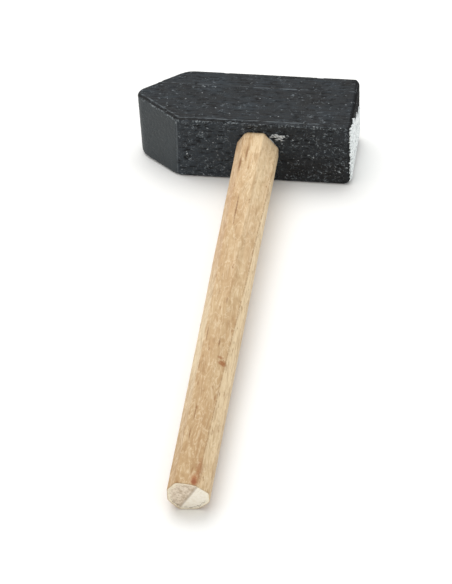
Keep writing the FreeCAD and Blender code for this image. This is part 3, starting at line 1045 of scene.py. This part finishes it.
    cuts = addNode(tree, "Math SUBTRACT", [fine, fleckMask])
    height = addNode(tree, "Math SUBTRACT", [cuts, mottle])
    setInputs(tree, shader, {
        "Base Color": wood,
        "Roughness": 0.62,
        "IOR": 1.45,
        "Specular IOR Level": 0.3,
        "Normal": bumps(tree, height, 0.4, 0.1),
    })
    return material


wedge = {
    "clearance": 0.02,
    "slices": 60,
    "across": 8,
    "fineness": 0.1,
    "split": {
        "splinter": 0.16,
        "splinterWidth": 0.45,
    },
    "colours": ("#8a5a38", "#54321f"),
}


def wedgeRings():
    # the tenon is round, so each slice of the wedge is as wide as the circle there
    gap, slices, across = wedge["clearance"], wedge["slices"], wedge["across"]
    top, tip = wedgeWide / 2 - gap, stick["kerfTip"] / 2 - gap
    rings = []
    for i in range(slices + 1):
        share = i / slices
        half = tip + (top - tip) * share
        y = wedgeEndY + gap + (headHeight - wedgeEndY - gap) * share
        ring = []
        for side in (1, -1):
            for j in range(across + 1):
                x = side * half * (1 - 2 * j / across)
                ring.append((x, y, axisRise + side * math.sqrt((tenonRadius - gap) ** 2 - x * x)))
        rings.append(ring)
    return rings


def makeWedge():
    piece = newObject("eyeWedge", closedStack(wedgeRings(), "eyeWedge"))
    makeEven(piece, wedge["fineness"])
    bake(piece)
    useTree(piece, splitWedgeTree(splitHardwood()), wedge["split"])
    finishPiece(piece, "eye_wedge")


def splitWedgeTree(material):
    # the exposed end is split, not cut: thin splinters of uneven height
    tree, given, place = startTree("splitWedge", wedge["split"])
    facingCrown = addNode(tree, "SeparateXYZ", [addNode(tree, "GeometryNodeInputNormal")]).outputs[1]
    y = addNode(tree, "SeparateXYZ", [place]).outputs[1]
    waves = addNode(tree, "Math DIVIDE", [1.0, given["splinterWidth"]])
    fine = addNode(tree, "VectorMath SCALE", {0: place, "Scale": waves})
    noise = grainNoise(tree, fine, 1.0, 3.0)
    atCrown = (y, headHeight - 0.02, headHeight - 0.01)
    push = mask(tree, noise, given["splinter"], facingCrown, atCrown)
    offset = addNode(tree, "CombineXYZ", [0.0, push, 0.0])
    moved = addNode(tree, "GeometryNodeSetPosition", {"Geometry": given[0], "Offset": offset})
    return endTree(tree, moved, material)


def splitHardwood():
    # a sliver of darker hardwood with its end grain showing: red-brown, streaked, dull
    material, tree, shader = newMaterial("splitHardwood")
    fine = grainNoise(tree, hammerPosition(tree), (3.0, 0.4, 1.2), 4.0, 0.65)
    setInputs(tree, shader, {
        "Base Color": lay(tree, *wedge["colours"], (fine, 0.35, 0.65)),
        "Roughness": 0.7,
        "Normal": bumps(tree, fine, 0.4, 0.1),
    })
    return material


glue = {
    "ringSides": 96,
    "clearance": 0.015,
    "squeezed": {
        "crumbCount": 22,
        "crumbSize": 0.28,
        "startX": 2.9,      # crumbs lie in a loose row beside the handle, on the underside
        "startZ": 12.6,
        "endX": 5.6,
        "endZ": 11.3,
        "outBy": 0.04,      # how far their middles stand out of the block
        "scatter": 0.65,
        "lumpiness": 0.35,
    },
    "colours": ("#82878a", "#dcdedd"),
}


def glueSleeve():
    # thin skin between tenon and eye, with a flange where the handle's shoulder meets the block
    gap, sides = glue["clearance"], glue["ringSides"]
    inner, outer, flange = tenonRadius + gap, eyeRadius - gap, glueWide / 2
    top, bottom = headHeight - gap, -glueGap + gap
    profile = [(inner, top), (inner, bottom), (flange, bottom), (flange, -gap), (outer, -gap), (outer, top)]
    shape = bmesh.new()
    rings = []
    for i in range(sides):
        turn = 2 * math.pi * i / sides
        ring = [(r * math.cos(turn), y, axisRise + r * math.sin(turn)) for r, y in profile]
        rings.append([shape.verts.new(point) for point in ring])
    joinRings(shape, rings + rings[:1])
    return meshOf(shape, "glueLine")


def makeGlue():
    piece = newObject("glueLine", glueSleeve())
    useTree(piece, squeezedGlueTree(driedGlue()), glue["squeezed"])
    finishPiece(piece, "glue_line")


def squeezedGlueTree(material):
    # adds the crumbs that were squeezed out and dried on the paint
    tree, given, place = startTree("squeezedGlue", glue["squeezed"])
    points = addNode(tree, "GeometryNodePoints", {"Count": given["crumbCount"]})
    along = addNode(tree, "FunctionNodeRandomValue", {"Seed": 3}, data_type="FLOAT")
    eachWay = {"Min": (-1, 0, -1), "Max": (1, 0, 1), "Seed": 8}
    spread = addNode(tree, "FunctionNodeRandomValue", eachWay, data_type="FLOAT_VECTOR")
    y = addNode(tree, "Math MULTIPLY", [given["outBy"], -1.0])
    start = addNode(tree, "CombineXYZ", [given["startX"], y, given["startZ"]])
    end = addNode(tree, "CombineXYZ", [given["endX"], y, given["endZ"]])
    onLine = addNode(tree, "Mix", {0: along, 4: start, 5: end}, data_type="VECTOR")
    offset = addNode(tree, "VectorMath SCALE", {0: spread, "Scale": given["scatter"]})
    spot = addNode(tree, "VectorMath ADD", [onLine, offset])
    placed = addNode(tree, "GeometryNodeSetPosition", {"Geometry": points, "Position": spot})

    # each crumb is a ball drawn out along the head and then pushed out of shape
    ball = addNode(tree, "GeometryNodeMeshIcoSphere", {"Radius": 1.0, "Subdivisions": 3})
    drawnOut = {"Min": (0.7, 0.2, 0.2), "Max": (2.6, 0.4, 0.55), "Seed": 5}
    flake = addNode(tree, "FunctionNodeRandomValue", drawnOut, data_type="FLOAT_VECTOR")
    size = addNode(tree, "VectorMath SCALE", {0: flake, "Scale": given["crumbSize"]})
    placing = {"Points": placed, "Instance": ball, "Scale": size}
    crumbs = addNode(tree, "GeometryNodeInstanceOnPoints", placing)
    real = addNode(tree, "GeometryNodeRealizeInstances", [crumbs])
    noise = grainNoise(tree, place, 3.0, 2.0).outputs["Color"]
    centred = addNode(tree, "VectorMath SUBTRACT", [noise, (0.5, 0.5, 0.5)])
    shove = addNode(tree, "VectorMath SCALE", {0: centred, "Scale": given["lumpiness"]})
    lumpy = addNode(tree, "GeometryNodeSetPosition", {"Geometry": real, "Offset": shove})
    everything = addNode(tree, "GeometryNodeJoinGeometry", [lumpy])
    setInputs(tree, everything, [given[0]])
    return endTree(tree, everything, material)


def driedGlue():
    # wood glue gone hard and cloudy, grey-white where it lies over the black paint
    material, tree, shader = newMaterial("driedGlue")
    cloud = grainNoise(tree, hammerPosition(tree), 2.2, 3.0)
    setInputs(tree, shader, {
        "Base Color": lay(tree, *glue["colours"], (cloud, 0.4, 0.6)), "Roughness": 0.45, "IOR": 1.46})
    return material


makeCamera()
makeStudio()
makeCoat(makeHead())
makeHandle()
makeWedge()
makeGlue()
